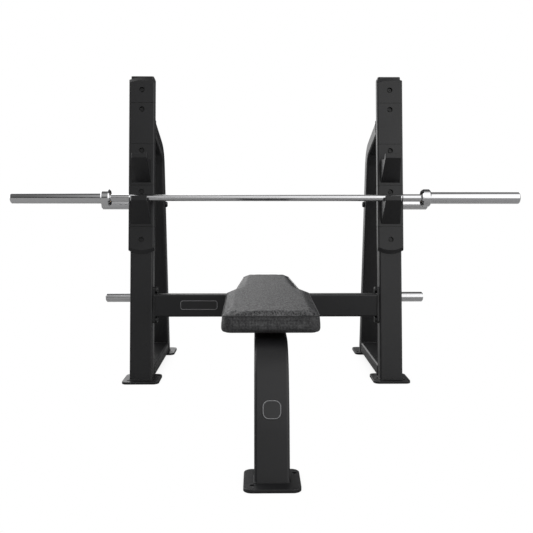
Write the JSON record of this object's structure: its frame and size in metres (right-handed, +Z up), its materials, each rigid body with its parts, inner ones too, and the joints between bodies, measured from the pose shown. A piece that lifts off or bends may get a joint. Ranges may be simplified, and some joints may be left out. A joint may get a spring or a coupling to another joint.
{
  "type": "olympic bench press",
  "caption": "Flat bench on a curved spine between two leaning side frames with bar hooks and plate pegs, with a long barbell whose sleeves spin.",
  "frame": {"origin": "on the floor at the middle of the overall length and width", "axes": "+Z up, -Y towards the foot end of the bench, +Y to the rear, X along the barbell"},
  "size_m": [2.2, 1.848, 1.3398],
  "materials": {
    "frame_paint": "fine textured matte black powder coat",
    "liner_plastic": "moulded matte black polyethylene",
    "cap_plastic": "moulded black plastic",
    "pad_vinyl": "grained black vinyl top, woven-look side band",
    "plywood": "birch plywood stained black",
    "bar_chrome": "bright chrome, knurled grips",
    "sleeve_chrome": "bright chrome",
    "peg_chrome": "bright chrome",
    "bronze": "sintered bronze",
    "black_fastener": "black oxide",
    "zinc_fastener": "zinc plated",
    "badge": "blank satin badge"
  },
  "bodies": {
    "frame": {"beam_badge": "badge", "beam_bolts": "black_fastener", "beam_nuts": "zinc_fastener", "beam_washers": "black_fastener", "bench_foot": "frame_paint", "bench_spine": "frame_paint", "crossbeam": "frame_paint", "left_base_rail": "frame_paint", "left_beam_flange": "frame_paint", "left_bottom_liner": "liner_plastic", "left_front_foot": "frame_paint", "left_lower_hook": "liner_plastic", "left_lower_peg": "peg_chrome", "left_plain_liner": "liner_plastic", "left_rear_foot": "frame_paint", "left_rear_leg": "frame_paint", "left_top_liner": "liner_plastic", "left_upper_hook": "liner_plastic", "left_upper_peg": "peg_chrome", "left_upright": "frame_paint", "leg_badge": "badge", "liner_inserts": "zinc_fastener", "liner_screws": "black_fastener", "pad_board": "plywood", "pad_bolts": "black_fastener", "pad_bracket_front": "frame_paint", "pad_bracket_rear": "frame_paint", "pad_cushion": "pad_vinyl", "pad_tee_nuts": "zinc_fastener", "peg_bolts": "black_fastener", "peg_end_caps": "peg_chrome", "peg_washers": "black_fastener", "right_base_rail": "frame_paint", "right_beam_flange": "frame_paint", "right_bottom_liner": "liner_plastic", "right_front_foot": "frame_paint", "right_lower_hook": "liner_plastic", "right_lower_peg": "peg_chrome", "right_plain_liner": "liner_plastic", "right_rear_foot": "frame_paint", "right_rear_leg": "frame_paint", "right_top_liner": "liner_plastic", "right_upper_hook": "liner_plastic", "right_upper_peg": "peg_chrome", "right_upright": "frame_paint", "spine_bolts": "black_fastener", "spine_flange": "frame_paint", "spine_nuts": "zinc_fastener", "upright_caps": "cap_plastic"},
    "bar": {"bar_shaft": "bar_chrome", "retaining_rings": "zinc_fastener"},
    "left_sleeve": {"left_sleeve": "sleeve_chrome", "left_collar": "sleeve_chrome", "left_end_plug": "sleeve_chrome", "left_bushings": "bronze"},
    "right_sleeve": {"right_sleeve": "sleeve_chrome", "right_collar": "sleeve_chrome", "right_end_plug": "sleeve_chrome", "right_bushings": "bronze"}
  },
  "joints": [
    {"name": "bar_lift", "type": "slide", "parent": "frame", "child": "bar", "axis": [0, -0.4624, 0.8867], "range_m": [0, 0.35]},
    {"name": "left_sleeve_spin", "type": "hinge", "parent": "bar", "child": "left_sleeve", "pos_m": [-0.9, 0.28265, 0.80281], "axis": [1, 0, 0], "continuous": true},
    {"name": "right_sleeve_spin", "type": "hinge", "parent": "bar", "child": "right_sleeve", "pos_m": [0.9, 0.28265, 0.80281], "axis": [1, 0, 0], "continuous": true}
  ]
}
